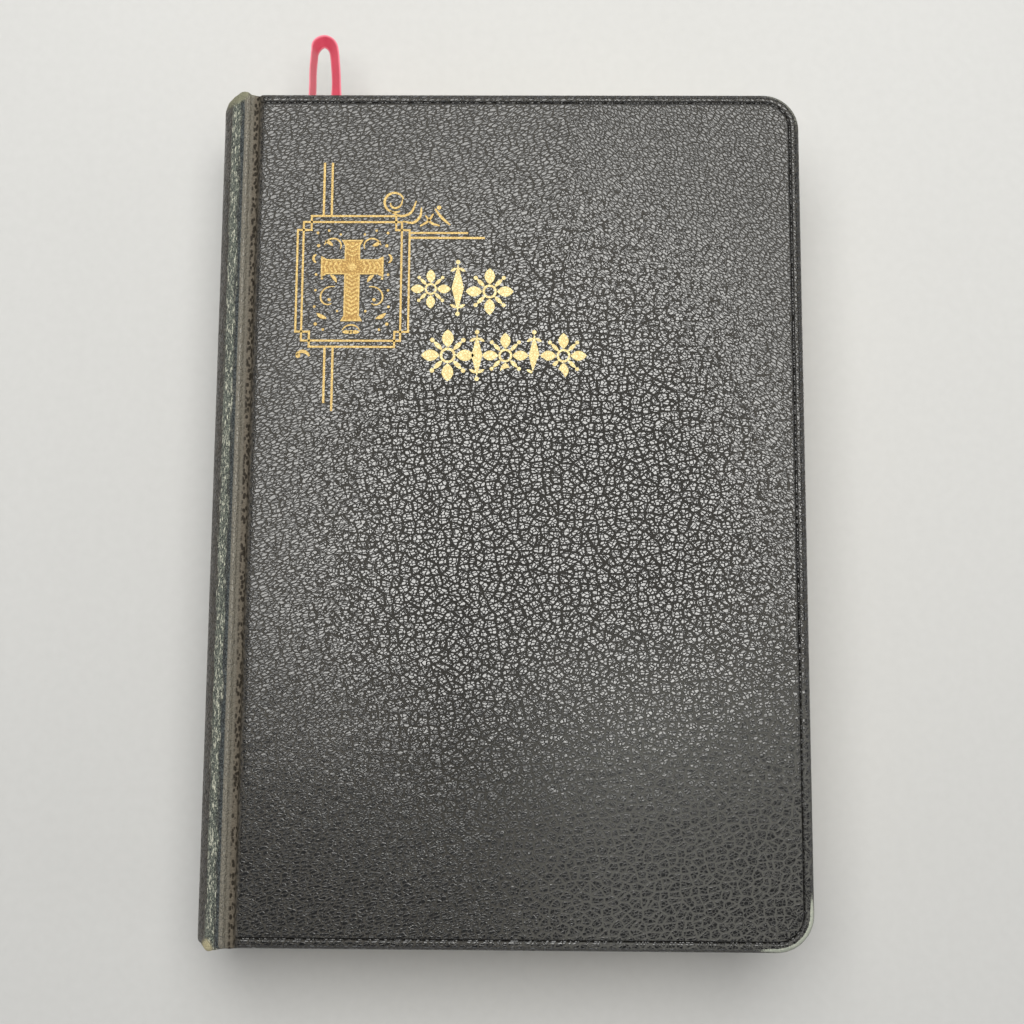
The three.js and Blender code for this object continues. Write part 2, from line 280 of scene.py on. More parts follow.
class Nodes:
    """Adds shader nodes to one new material."""

    def __init__(self, name):
        self.material = bpy.data.materials.new(name)
        self.material.use_nodes = True
        self.tree = self.material.node_tree
        self.shader = self.tree.nodes["Principled BSDF"]

    def put(self, socket, value):
        if isinstance(value, bpy.types.NodeSocket):
            self.tree.links.new(value, socket)
        else:
            socket.default_value = value

    def add(self, kind, inputs=None, **settings):
        node = self.tree.nodes.new("ShaderNode" + kind)
        for key, value in settings.items():
            setattr(node, key, value)
        for key, value in (inputs or {}).items():
            self.put(node.inputs[key], value)
        return node

    def shade(self, **values):
        for key, value in values.items():
            self.put(self.shader.inputs[key.replace("_", " ")], value)

    def place(self, size=(1, 1, 1), turn=0.0):
        """Object coordinates along axes turned about Z, in units of size millimetres."""
        return self.scaled(self.add("TexCoord").outputs["Object"], size, turn)

    def lay_flat(self, size=(1, 1, 1), turn=0.0):
        """Like place, but X and Y also run with height, so a flat pattern goes over an edge."""
        coords = self.add("TexCoord").outputs["Object"]
        height = self.axis(coords, "Z")
        rise = self.add("CombineXYZ", {0: height, 1: height}).outputs[0]
        moved = self.add("VectorMath", {0: coords, 1: rise}, operation="ADD").outputs[0]
        return self.scaled(moved, size, turn)

    def scaled(self, coords, size, turn):
        """Coordinates turned about Z, in units of size millimetres."""
        unit = tuple(s * MM for s in size)
        inputs = {"Vector": coords, "Scale": unit, "Rotation": (0.0, 0.0, math.radians(turn))}
        return self.add("Mapping", inputs, vector_type="TEXTURE").outputs["Vector"]

    def noise(self, vector, scale, detail=2.0, roughness=0.5):
        inputs = {"Vector": vector, "Scale": scale, "Detail": detail, "Roughness": roughness}
        return self.add("TexNoise", inputs).outputs["Fac"]

    def warp(self, vector, scale, amount):
        """Moves a coordinate about by noise."""
        inputs = {"Vector": vector, "Scale": scale, "Detail": 1.0}
        cloud = self.add("TexNoise", inputs).outputs["Color"]
        centred = self.add("VectorMath", {0: cloud, 1: (0.5, 0.5, 0.5)}, operation="SUBTRACT")
        scaled = self.add("VectorMath", {0: centred.outputs[0], "Scale": amount}, operation="SCALE")
        moved = self.add("VectorMath", {0: vector, 1: scaled.outputs[0]}, operation="ADD")
        return moved.outputs[0]

    def cells(self, vector, scale, feature="DISTANCE_TO_EDGE", dimensions="3D"):
        settings = {"feature": feature, "voronoi_dimensions": dimensions}
        inputs = {"Vector": vector, "Scale": scale}
        return self.add("TexVoronoi", inputs, **settings).outputs["Distance"]

    def ease(self, value, low, high, start=0.0, end=1.0):
        inputs = {"Value": value, "From Min": low, "From Max": high, "To Min": start, "To Max": end}
        node = self.add("MapRange", inputs, interpolation_type="SMOOTHSTEP")
        return node.outputs["Result"]

    def math(self, operation, a, b=0.0):
        return self.add("Math", {0: a, 1: b}, operation=operation).outputs[0]

    def plus(self, a, b):
        return self.math("ADD", a, b)

    def times(self, a, b):
        return self.math("MULTIPLY", a, b)

    def mix(self, factor, a, b):
        node = self.add("Mix", data_type="RGBA")
        self.put(node.inputs[0], factor)
        self.put(node.inputs[6], a)
        self.put(node.inputs[7], b)
        return node.outputs[2]

    def blend_values(self, factor, a, b):
        node = self.add("Mix", data_type="FLOAT")
        self.put(node.inputs[0], factor)
        self.put(node.inputs[2], a)
        self.put(node.inputs[3], b)
        return node.outputs[0]

    def axis(self, vector, name):
        return self.add("SeparateXYZ", {0: vector}).outputs[name]

    def read(self, name):
        return self.add("Attribute", attribute_name=name).outputs["Fac"]

    def bump(self, height, distance_mm, strength=1.0, under=None):
        inputs = {"Height": height, "Distance": distance_mm * MM, "Strength": strength}
        if under is not None:
            inputs["Normal"] = under
        return self.add("Bump", inputs).outputs["Normal"]


def rgb(red, green, blue):
    """A colour with full opacity, for a socket."""
    return (red, green, blue, 1.0)


def pebbles(n, size, turn, coarse, fine, split, crease):
    """Leather grain: 0 in the creases, 1 on the pebbles, which thin creases split further."""
    spot = n.warp(n.lay_flat(size, turn), 0.8, 0.6)
    broad_crease = n.ease(n.cells(spot, 1 / coarse, dimensions="2D"), 0.35 * crease, crease)
    thin_crease = n.ease(n.cells(spot, 1 / fine, dimensions="2D"), 0.02, 0.20)
    return n.times(broad_crease, n.ease(thin_crease, 0.0, 1.0, split, 1.0))


# The round grain's middle, and how far it reaches along X and Y before slanting grain takes over.
GRAIN_CENTRE = (12.0, -12.0)
GRAIN_REACH = (62.0, 88.0)


def cover_leather():
    """Black pebbled leather, glossy on the pebbles and matt grey-brown in the creases."""
    n = Nodes("black_pebbled_leather")
    place = n.place()
    broad = n.noise(place, 0.03, 2.0)
    fine = n.noise(place, 5.0, 3.0)
    # Pebbles are round in the middle and at the lower right. Elsewhere they are long and tilted,
    # one way on the spine's side and the other way on the fore-edge's; noise makes both borders
    # ragged.
    x, y = [
        n.math("DIVIDE", n.math("SUBTRACT", n.axis(place, name), centre), reach)
        for name, centre, reach in zip("XY", GRAIN_CENTRE, GRAIN_REACH)
    ]
    reach = n.math("SQRT", n.plus(n.times(x, x), n.times(y, y)))
    patches = n.times(n.noise(place, 0.5, 2.0, 0.5), 1.9)
    low = n.ease(n.axis(place, "Y"), -15.0, -65.0)
    low_right = n.times(low, n.ease(n.axis(place, "X"), -15.0, 35.0))
    patches = n.math("SUBTRACT", patches, n.times(low_right, 0.6))
    slant = n.ease(n.plus(reach, patches), 1.74, 1.86)
    round_grain = pebbles(n, (1.2, 0.9, 1.0), 8, 1.95, 0.8, 0.32, 0.145)
    left_grain = pebbles(n, (1.75, 0.74, 1.0), 20, 1.25, 0.9, 0.55, 0.115)
    right_grain = pebbles(n, (1.6, 0.72, 1.0), -38, 1.05, 0.9, 0.6, 0.115)
    side = n.plus(n.axis(place, "X"), n.times(patches, 12.0))
    slant_grain = n.blend_values(n.ease(side, 28.0, 30.0), left_grain, right_grain)
    bright = n.blend_values(slant, round_grain, slant_grain)
    worn = n.read("wear")
    # Painted light: the creases are painted lighter away from the grain's middle, and lighter still at
    # the lower right, standing in for how the light falls across the cover.
    deep = n.mix(broad, rgb(0.018, 0.017, 0.015), rgb(0.036, 0.034, 0.030))
    shallow = n.mix(broad, rgb(0.034, 0.032, 0.028), rgb(0.066, 0.062, 0.055))
    outward = n.ease(reach, 0.35, 1.25)
    crease = n.mix(low_right, n.mix(outward, deep, shallow), rgb(0.076, 0.075, 0.069))
    skin = n.mix(n.ease(bright, 0.1, 0.85), crease, rgb(0.004, 0.004, 0.0042))
    skin = n.mix(n.read("groove"), skin, rgb(0.004, 0.0035, 0.003))
    joint = n.read("joint")
    pits = n.ease(n.cells(n.warp(n.place((0.8, 1.25, 1.0)), 1.0, 0.5), 1.05, "F1"), 0.36, 0.60)
    network = n.mix(fine, rgb(0.055, 0.045, 0.034), rgb(0.16, 0.14, 0.11))
    brown = n.mix(pits, rgb(0.022, 0.018, 0.013), network)
    rubbed = n.mix(fine, rgb(0.075, 0.066, 0.052), rgb(0.19, 0.175, 0.145))
    brown = n.mix(n.ease(n.axis(place, "X"), -64.2, -63.5, 1.0, 0.0), brown, rubbed)
    skin = n.mix(joint, skin, brown)
    pale = n.mix(fine, rgb(0.20, 0.26, 0.24), rgb(0.52, 0.50, 0.40))
    patch = n.ease(n.plus(worn, n.times(fine, 0.5)), 0.62, 0.9)
    n.shade(Base_Color=n.mix(patch, skin, pale))
    top = n.ease(bright, 0.3, 0.95)
    gloss = n.blend_values(top, 0.72, 0.30)
    gloss = n.plus(gloss, n.ease(fine, 0.3, 0.7, -0.04, 0.08))
    gloss = n.blend_values(joint, gloss, 0.55)
    n.shade(Roughness=n.blend_values(patch, gloss, 0.75))
    polish = n.times(top, n.ease(fine, 0.25, 0.6, 0.55, 1.0))
    polish = n.times(polish, n.ease(reach, 0.55, 1.35, 1.0, 0.55))
    n.shade(Coat_Weight=n.blend_values(n.math("MAXIMUM", patch, joint), polish, 0.0))
    n.shade(Coat_Roughness=0.17, Coat_IOR=2.0, Specular_IOR_Level=0.1)
    swell = n.bump(n.noise(place, 0.5, 2.0), 0.35, 0.3)
    grain = n.bump(bright, 0.09, 0.9, swell)
    relief = n.bump(fine, 0.015, 0.6, grain)
    n.shade(Normal=relief, Coat_Normal=relief)
    return n.material


def spine_leather():
    """The spine's leather: dark, with a grey-green band that is partly rubbed and partly a painted
    highlight, and a blue-grey band beside a rubbed crest.
    """
    n = Nodes("worn_spine_leather")
    place = n.place()
    away = n.math("ABSOLUTE", n.math("SUBTRACT", n.axis(place, "Z"), MIDDLE))
    fine = n.noise(place, 3.2, 4.0, 0.6)
    streaks = n.noise(n.place((1.0, 7.0, 1.0)), 1.1, 3.0, 0.6)
    along = n.plus(away, n.times(n.math("SUBTRACT", streaks, 0.5), 3.0))
    speck = n.ease(n.noise(place, 2.4, 3.0, 0.7), 0.44, 0.58)
    # Painted highlight: the pale specks mixed into the grey-green band are a painted highlight streak
    # laid over rubbed leather.
    scuff_and_highlight = n.ease(n.noise(n.place((1.0, 2.2, 1.0)), 1.5, 3.0, 0.7), 0.53, 0.62)
    pits = n.ease(n.cells(n.warp(n.place((1.0, 1.4, 1.0)), 1.0, 0.5), 1.0, "F1"), 0.28, 0.44)
    network = n.mix(speck, rgb(0.014, 0.011, 0.008), rgb(0.058, 0.048, 0.034))
    dark = n.mix(pits, rgb(0.006, 0.005, 0.004), network)
    # Painted highlight: the grey-green band is partly rubbed leather and partly a painted highlight
    # along the spine's shoulder.
    green = n.mix(speck, rgb(0.026, 0.031, 0.028), rgb(0.165, 0.185, 0.150))
    green = n.mix(scuff_and_highlight, green, rgb(0.52, 0.52, 0.42))
    band = n.times(n.ease(along, 11.6, 12.8), n.ease(along, 14.6, 15.6, 1.0, 0.0))
    skin = n.mix(band, dark, green)
    blue = n.mix(speck, rgb(0.008, 0.010, 0.011), rgb(0.070, 0.082, 0.084))
    skin = n.mix(n.ease(along, 14.8, 15.8), skin, blue)
    ridge = n.math("MAXIMUM", n.ease(away, 15.9, 16.15), n.ease(n.axis(place, "X"), -65.7, -65.3))
    crest = n.times(ridge, n.ease(fine, 0.3, 0.6, 0.4, 1.0))
    skin = n.mix(crest, skin, rgb(0.17, 0.155, 0.125))
    worn = n.read("wear")
    patch = n.ease(n.plus(worn, n.times(fine, 0.6)), 0.72, 1.05)
    to_head = n.ease(n.axis(place, "Y"), -90.0, 90.0)
    pale = n.mix(fine, rgb(0.30, 0.27, 0.16), rgb(0.52, 0.46, 0.29))
    pale = n.mix(to_head, pale, n.mix(fine, rgb(0.10, 0.105, 0.070), rgb(0.29, 0.28, 0.19)))
    n.shade(Base_Color=n.mix(patch, skin, pale))
    spot = n.warp(n.place((1.0, 1.3, 1.0)), 0.8, 0.5)
    grain = n.ease(n.cells(spot, 1 / 1.0), 0.0, 0.16)
    gloss = n.plus(n.ease(streaks, 0.3, 0.7, 0.24, 0.40), n.ease(grain, 0.0, 1.0, 0.28, 0.0))
    n.shade(Roughness=n.blend_values(patch, gloss, 0.8))
    n.shade(Normal=n.bump(streaks, 0.14, 0.5, n.bump(grain, 0.13, 1.0)), Specular_IOR_Level=0.3)
    return n.material


def page_paper():
    """Thin paper seen at its edges: fine leaf lines, toned by age."""
    n = Nodes("aged_page_edges")
    place = n.place()
    leaves = n.noise(n.place((50.0, 50.0, 0.07)), 1.0, 3.0, 0.7)
    stain = n.noise(place, 0.05, 3.0)
    cream = n.mix(stain, rgb(0.70, 0.59, 0.40), rgb(0.86, 0.78, 0.61))
    gap = n.mix(stain, rgb(0.40, 0.30, 0.17), rgb(0.56, 0.46, 0.30))
    facing = n.math("ABSOLUTE", n.axis(n.add("TexCoord").outputs["Normal"], "Z"))
    edge = n.ease(facing, 0.5, 0.9, 1.0, 0.0)
    lines = n.blend_values(edge, 1.0, n.ease(leaves, 0.36, 0.56))
    n.shade(Base_Color=n.mix(lines, gap, n.mix(edge, rgb(0.62, 0.55, 0.41), cream)))
    n.shade(Roughness=n.ease(leaves, 0.3, 0.7, 0.85, 0.65))
    fibre = n.noise(place, 2.5, 4.0)
    n.shade(Normal=n.bump(fibre, 0.03, 0.4, n.bump(leaves, 0.06, 0.8)))
    return n.material


def end_paper():
    """Uncoated cream endpaper with faint fibres and a cloudy tone."""
    n = Nodes("cream_endpaper")
    place = n.place()
    fibre = n.noise(n.place((1.0, 4.0, 1.0), 20), 2.2, 5.0, 0.65)
    cloud = n.noise(place, 0.035, 3.0)
    base = n.mix(cloud, rgb(0.46, 0.38, 0.25), rgb(0.57, 0.50, 0.36))
    n.shade(Base_Color=n.mix(n.ease(fibre, 0.35, 0.75, 0.0, 0.35), base, rgb(0.38, 0.30, 0.19)))
    n.shade(Roughness=n.ease(fibre, 0.2, 0.8, 0.72, 0.9))
    n.shade(Normal=n.bump(fibre, 0.02, 0.35))
    return n.material


def pulp_board(name, light, dark):
    """Pulp board or kraft paper, matt, with fibres and dark flecks."""
    n = Nodes(name)
    place = n.place()
    flecks = n.cells(n.warp(place, 0.8, 0.8), 1.3, "F1")
    fibre = n.noise(place, 1.6, 5.0, 0.7)
    body = n.mix(fibre, dark, light)
    n.shade(Base_Color=n.mix(n.ease(flecks, 0.12, 0.3, 0.7, 0.0), body, rgb(0.10, 0.07, 0.04)))
    n.shade(Roughness=n.ease(fibre, 0.2, 0.8, 0.8, 0.95))
    n.shade(Normal=n.bump(fibre, 0.06, 0.5))
    return n.material


def gauze():
    """Open cotton gauze, stiff with glue."""
    n = Nodes("glued_gauze")
    place = n.place()
    along = n.math("SINE", n.times(n.axis(place, "Y"), 6.0))
    across = n.math("SINE", n.times(n.axis(place, "Z"), 6.0))
    weave = n.math("MAXIMUM", along, across)
    glue = n.noise(place, 0.6, 3.0)
    threads = n.mix(glue, rgb(0.52, 0.47, 0.34), rgb(0.74, 0.70, 0.58))
    n.shade(Base_Color=n.mix(n.ease(weave, 0.1, 0.7), rgb(0.36, 0.28, 0.15), threads))
    n.shade(Roughness=n.ease(glue, 0.3, 0.7, 0.55, 0.9))
    n.shade(Normal=n.bump(weave, 0.08, 0.7))
    return n.material


def band_cloth():
    """Striped cotton wound over a cord."""
    n = Nodes("striped_endband")
    stripe = n.ease(n.read("stripe"), 0.35, 0.65)
    fluff = n.noise(n.place(), 4.0, 4.0)
    gold = n.mix(fluff, rgb(0.48, 0.33, 0.08), rgb(0.66, 0.50, 0.18))
    red = n.mix(fluff, rgb(0.22, 0.03, 0.02), rgb(0.36, 0.06, 0.04))
    n.shade(Base_Color=n.mix(stripe, gold, red))
    n.shade(Roughness=n.ease(fluff, 0.3, 0.7, 0.6, 0.85))
    n.shade(Normal=n.bump(fluff, 0.05, 0.6))
    return n.material


def ribbon_cloth():
    """Red satin ribbon with faded pink selvedges."""
    n = Nodes("red_satin_ribbon")
    side = n.math("ABSOLUTE", n.read("across"))
    run = n.read("along")
    threads = n.math("SINE", n.times(run, 16.0))
    cloud = n.noise(n.place(), 0.35, 3.0)
    red = n.mix(cloud, rgb(0.40, 0.020, 0.050), rgb(0.56, 0.045, 0.090))
    edge = n.mix(cloud, rgb(0.64, 0.11, 0.17), rgb(0.72, 0.21, 0.27))
    selvedge = n.ease(n.plus(side, n.times(cloud, 0.12)), 0.72, 0.90)
    n.shade(Base_Color=n.mix(selvedge, red, edge))
    n.shade(Roughness=n.ease(cloud, 0.3, 0.7, 0.38, 0.55), Sheen_Weight=0.35)
    n.shade(Normal=n.bump(threads, 0.03, 0.45))
    return n.material


def foil_metal(name, light, dark, rough):
    """Stamping foil that follows the leather's grain and is rubbed thin in places."""
    n = Nodes(name)
    spot = n.warp(n.place(), 0.9, 0.6)
    grain = n.ease(n.cells(spot, 1 / 0.75), 0.0, 0.24)
    speck = n.noise(n.place(), 3.5, 3.0)
    tone = n.times(grain, n.ease(speck, 0.3, 0.6, 0.5, 1.0))
    n.shade(Base_Color=n.mix(tone, dark, light), Metallic=0.45)
    n.shade(Roughness=n.ease(speck, 0.3, 0.7, rough, rough + 0.14))
    n.shade(Normal=n.bump(speck, 0.02, 0.4, n.bump(grain, 0.05, 0.5)))
    return n.material


# ---- Ribbon ----

def ribbon_turn(y, down):
    """How far the ribbon's outer edge stands up from flat, in degrees."""
    if not down:
        return 66 - 34 * smoothstep(124, 127.5, y)
    if y > 117:
        return 40 - 8 * smoothstep(124.5, 127.5, y)
    return 40 * smoothstep(102, 117, y)


def make_ribbon(material):
    """A flat ribbon that loops past the head and lies between the pages down to the tail."""
    path = smooth_path([(x, y, RIBBON_Z) for x, y in RIBBON_ROUTE], 8)
    # The cross-section, as shares of half the width and half the thickness.
    profile = [(-1, 0.55), (-0.9, 1), (-0.5, 1), (0, 1), (0.5, 1), (0.9, 1), (1, 0.55)]
    profile += [(u, -v) for u, v in reversed(profile)]
    turning = max(range(len(path)), key=lambda i: path[i][1])
    points, across, along = [], [], []
    run = 0.0
    for i, p in enumerate(path):
        ahead = Vector(heading(path, i)).normalized()
        run += 0.0 if i == 0 else float(np.linalg.norm(p - path[i - 1]))
        flat = ahead.cross(Vector((0, 0, 1))).normalized()
        turn = -math.radians(ribbon_turn(p[1], i > turning))
        width = math.cos(turn) * flat + math.sin(turn) * Vector((0, 0, 1))
        face = width.cross(ahead).normalized()
        cup = 0.10 * smoothstep(104, 112, p[1])
        for u, v in profile:
            lift = v * RIBBON_THICKNESS / 2 + cup * (u * u - 0.4)
            points.append(Vector(p) + width * (u * RIBBON_WIDTH / 2) + face * lift)
            across.append(u)
            along.append(run)
    ribbon = mesh_object("marker_ribbon", points, tube_faces(len(path), len(profile)))
    add_attributes(ribbon, across=across, along=along)
    finish_piece(ribbon, material, "ribbon", "ribbon_marker")
    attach(ribbon, "text_block")
    return ribbon


# ---- Leather ----

# The cover's edge, as inset from the outline and height below the top: flat, pressed border
# line, sloping strip, rounded edge, side, turned-in margin.
COVER_EDGE = [
    (12.0, 0), (11.1, 0), (10.2, 0), (9.3, 0), (8.4, 0), (7.5, 0), (6.6, 0), (5.7, 0),
    (4.8, 0), (4.0, 0), (3.4, 0), (3.05, 0.01), (2.9, 0.06), (2.78, 0.22), (2.66, 0.36),
    (2.52, 0.40), (2.38, 0.36), (2.26, 0.20), (2.12, 0.06), (1.95, 0.03), (1.65, 0.035),
    (1.3, 0.07), (1.0, 0.15), (0.75, 0.30), (0.5, 0.56), (0.28, 0.95), (0.1, 1.45), (0.0, 1.9),
    (0.0, 2.3), (0.12, 2.72), (0.4, 3.0), (0.9, 3.1), (2.0, 3.12), (4.0, 3.12), (6.0, 3.12),
]

# The cover's spine side, as x and depth below the top: joint strip, then up onto the board.
COVER_JOINT = [
    (-64.75, 2.30), (-64.5, 2.50), (-64.2, 2.61), (-63.8, 2.66), (-63.4, 2.67), (-63.0, 2.65),
    (-62.7, 2.58), (-62.45, 2.38), (-62.28, 2.02), (-62.12, 1.5), (-61.92, 0.92), (-61.62, 0.44),
    (-61.2, 0.15), (-60.7, 0.03), (-60.0, 0.0), (-59.0, 0.0),
]


def cover_depth(x):
    """How far the leather lies below the cover's top at x."""
    xs = [p[0] for p in COVER_JOINT]
    return float(np.interp(x, xs, [p[1] for p in COVER_JOINT]))


# Rubbing, where 1 is bare: at the ends of the joint, all along the cover's edges, added at the
# fore corners, and the share of that at the head's corner. Edges start this far in.
CAP_WEAR = 0.25
EDGE_WEAR = 0.18
CORNER_WEAR = 0.90
HEAD_SHARE = 0.3
EDGE_INSET = 1.7


def edge_wear(x, y, inset, drop):
    """How rubbed the leather is on the cover's rounded edge, given its inset and drop."""
    if inset >= EDGE_INSET:
        return 0.0
    rounding = smoothstep(0.02, 0.12, drop) * (1 - smoothstep(0.5, 1.5, drop))
    from_corner = math.hypot(FORE_EDGE - x, HALF_HEIGHT - abs(y))
    at_corner = (1 - smoothstep(6, 17, from_corner)) * (1.0 if y < 0 else HEAD_SHARE)
    return rounding * (EDGE_WEAR + CORNER_WEAR * at_corner)


def make_cover(name, material, front):
    """A cover's leather: outer face, edges and turned-in margins, and the strip over the joint."""
    sign = 1 if front else -1
    lines = [p[0] for p in COVER_JOINT] + spaced(-58.0, FORE_EDGE - CORNER_BLOCK - 1.0, 1.0)
    rings = [p[0] for p in COVER_EDGE]
    plan, rows, columns = panel(lines, FORE_EDGE, HALF_HEIGHT, CORNER_RADIUS, rings, 1.0)
    full = COVER_EDGE[-1][1]
    points, wear, joint, groove = [], [], [], []
    for x, y, ring in plan:
        drop = COVER_EDGE[ring][1]
        sunk = cover_depth(x)
        depth = sunk + drop * (full - sunk) / full
        if drop < 0.1:
            wave = noise.noise(Vector((x / 34, y / 34, 1.7 * sign)))
            ripple = noise.noise(Vector((x / 7, y / 7, 5.1 * sign)))
            depth += (0.10 * wave + 0.035 * ripple) * smoothstep(0, 3, HALF_HEIGHT - abs(y))
        cap = math.exp(-((x + 63.4) / 1.5) ** 2) * smoothstep(HALF_HEIGHT - 4, HALF_HEIGHT, abs(y))
        out_y = y + math.copysign(CAP_RISE * cap, y)
        points.append((x, out_y, MIDDLE + sign * (MIDDLE - depth)))
        joint.append(smoothstep(-60.6, -62.4, x))
        groove.append(1.0 if 2.3 < rings[ring] < 2.8 and drop > 0.15 else 0.0)
        wear.append(max(cap * CAP_WEAR, edge_wear(x, y, rings[ring], drop)))
    obj = mesh_object(name + "_skin", points, grid_faces(rows, columns, flip=not front))
    add_attributes(obj, wear=wear, joint=joint, groove=groove)
    finish_piece(obj, material, "leather", name + "_leather")
    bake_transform(obj)
    return obj


def spine_section():
    """The spine leather's outer line in x and z, from the front joint round to the back joint."""
    half = [(-63.3, 15.22), (-63.8, 15.24), (-64.25, 15.34), (-64.5, 15.55), (-64.68, 15.85)]
    half += [(-64.85, 16.1), (-65.1, 16.27), (-65.4, 16.3), (-65.75, 16.18), (-66.15, 15.92)]
    top = math.asin(SPINE_ARC_RISE / SPINE_RADIUS)
    arc = []
    for angle in np.linspace(top, -top, 57):
        x = SPINE_CENTRE_X - SPINE_RADIUS * math.cos(angle)
        arc.append((x, SPINE_RADIUS * math.sin(angle)))
    line = half + arc + [(x, -z) for x, z in reversed(half)]
    return [(x, MIDDLE + z) for x, z in line]


# The spine leather's ends, as distance from the end and depth below the outer surface.
SPINE_CAP = [(9.0, 1.7), (3.0, 1.68), (0.9, 1.55), (0.25, 1.25), (0.0, 0.85), (0.12, 0.42),
             (0.45, 0.14), (0.9, 0.03), (1.6, 0.0), (2.6, 0.0), (4.0, 0.0)]


# Where each cap is pushed out and worn most, as x, and the wear's reach towards -X and +X.
HEAD_CAP = (-67.6, 5.5, 3.0)
TAIL_CAP = (-69.3, 1.7, 1.7)
CAP_RISE = 0.35


def cap_bulge(x, y, z):
    """From 0 to 1, how far the turned-in cap bulges, which it does in the front half only."""
    centre, outer, inner = HEAD_CAP if y > 0 else TAIL_CAP
    reach = inner if x > centre else outer
    return math.exp(-(((x - centre) / reach) ** 2)) * (z > MIDDLE)


def make_spine(material):
    """The leather over the spine, turned in at the head and tail, with the two joint grooves."""
    line = [np.array(p) for p in spine_section()]
    ahead = [heading(line, i) for i in range(len(line))]
    normals = [np.array((-d[1], d[0])) / np.linalg.norm(d) for d in ahead]
    if normals[len(line) // 2][0] > 0:
        normals = [-m for m in normals]
    end = HALF_HEIGHT + CAP_RISE
    rows = [(end - a, b) for a, b in SPINE_CAP]
    inner = [(y, 0.0) for y in spaced(end - 6.0, -end + 6.0, 2.0)]
    rows = rows + inner + [(-y, b) for y, b in reversed(rows)]
    points, wear = [], []
    for y, inset in rows:
        for i, ((x, z), normal) in enumerate(zip(line, normals)):
            rough = noise.noise(Vector((x / 3.0, y / 9.0, z / 3.0)))
            ridge = 0.05 * rough * (1 if inset == 0 else 0.4)
            side = min(1.0, 2 * i / len(line), 2 * (len(line) - 1 - i) / len(line))
            shift = 0.30 * noise.noise(Vector((x / 2.2, z / 2.2, math.copysign(4, y))))
            near_end = smoothstep(end - 5, end, abs(y))
            cap = cap_bulge(x, y, z)
            p = np.array((x, z)) + normal * (ridge - inset * (1 if side > 0.04 else 0.4))
            p += normal * 0.25 * cap * near_end
            out_y = y + math.copysign((shift + 1.1 * cap) * near_end, y)
            points.append((p[0], out_y, p[1]))
            low_end = math.exp(-((z / 3.0) ** 2))
            edge = near_end * (0.30 + 0.75 * cap + 0.3 * low_end)
            wear.append(edge * (1 if inset < 1.5 else 0.5))
    obj = mesh_object("spine_skin", points, grid_faces(len(rows), len(line)))
    add_attributes(obj, wear=wear)
    finish_piece(obj, material, "leather", "spine_leather")
    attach(obj, "text_block")
    return obj


# ---- Pages and endpapers ----

def page_outline(z, inset, fold_inset):
    """One leaf level's outline in x and y, anticlockwise from the tail end of the fold."""
    rise = min(abs(z - MIDDLE), BLOCK_HALF)
    fold = SPINE_CENTRE_X - math.sqrt(BLOCK_RADIUS ** 2 - rise ** 2) + fold_inset
    fore = PAGE_FORE_EDGE - PAGE_HOLLOW * (1 - (rise / BLOCK_HALF) ** 2) - inset
    half = PAGE_HALF_HEIGHT - inset
    r = PAGE_RADIUS
    lines = sorted(list(np.linspace(fold, fore - r, 9)) + [RIBBON_ENTRY + d for d in RIBBON_GAP])

    def corner(y, start):
        angles = [math.radians(a) for a in np.linspace(start, start + 90, 8)[1:]]
        return [(fore - r + r * math.cos(a), y + r * math.sin(a)) for a in angles]

    out = [(x, -half) for x in lines] + corner(-half + r, -90)
    out += [(fore, y) for y in np.linspace(-half + r, half - r, 15)[1:]] + corner(half - r, 0)
    out += [(x, half) for x in lines[::-1][1:]]
    out += [(fold, y) for y in np.linspace(half, -half, 5)[1:-1]]
    return out


def leaf_lip(x, y, rise):
    """How far a leaf at the ribbon closes up to its neighbour at the block's edges.

    It stays open at the head beside the spine, where the ribbon is glued on.
    """
    if x < -58 and y > 0:
        return 0.0
    at_ribbon = 1 - smoothstep(2.3, 4.4, abs(x - RIBBON_ENTRY))
    return rise * (1 - at_ribbon if y > 0 else 1)


def make_sections(material):
    """The page block: each section is a pile of leaves with slightly uneven edges."""
    random.seed(SEED)
    names = sorted(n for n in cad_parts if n.startswith("section_"))
    levels = 11
    for name in names:
        low, high = (c.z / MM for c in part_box(name))
        # The leaves next to the ribbon close its channel along their edges.
        above = RIBBON_Z - high if 0 < RIBBON_Z - high < 1 else 0.05
        below = low - RIBBON_Z if 0 < low - RIBBON_Z < 1 else 0.05
        points = []
        for k in range(levels):
            t = 2 * k / (levels - 1) - 1
            z = (low + high) / 2 + t * ((high - low) / 2)
            inset = random.uniform(0.0, 0.16) + (0.10 if k % 2 else 0.0)
            for x, y in page_outline(z, inset, 0.4 * t ** 4):
                lift = leaf_lip(x, y, above) if k == levels - 1 else 0.0
                lift -= leaf_lip(x, y, below) if k == 0 else 0.0
                points.append((x, y, z + lift))
        count = len(points) // levels
        faces = grid_faces(levels, count, closed_columns=True)
        for start, level, sign, lip in ((0, low, -1, below), (len(points) - count, high, 1, above)):
            ring = start
            for inset, share in ((1.6, 1.0), (3.0, 0.0)):
                base = len(points)
                for x, y in page_outline(level, inset, 0.6):
                    points.append((x, y, level + sign * share * leaf_lip(x, y, lip)))
                for i in range(count):
                    j = (i + 1) % count
                    quad = (ring + i, ring + j, base + j, base + i)
                    faces.append(quad if sign > 0 else quad[::-1])
                ring = base
            cap = tuple(range(ring, ring + count))
            faces.append(cap if sign > 0 else cap[::-1])
        obj = mesh_object(name + "_leaves", points, faces, smooth=False)
        finish_piece(obj, material, "pages", name)
        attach(obj, "text_block")


PAPER_EDGE = [12.0, 10.5, 9.0, 7.5, 6.0, 4.5, 3.0, 1.5, 0.6, 0.0]


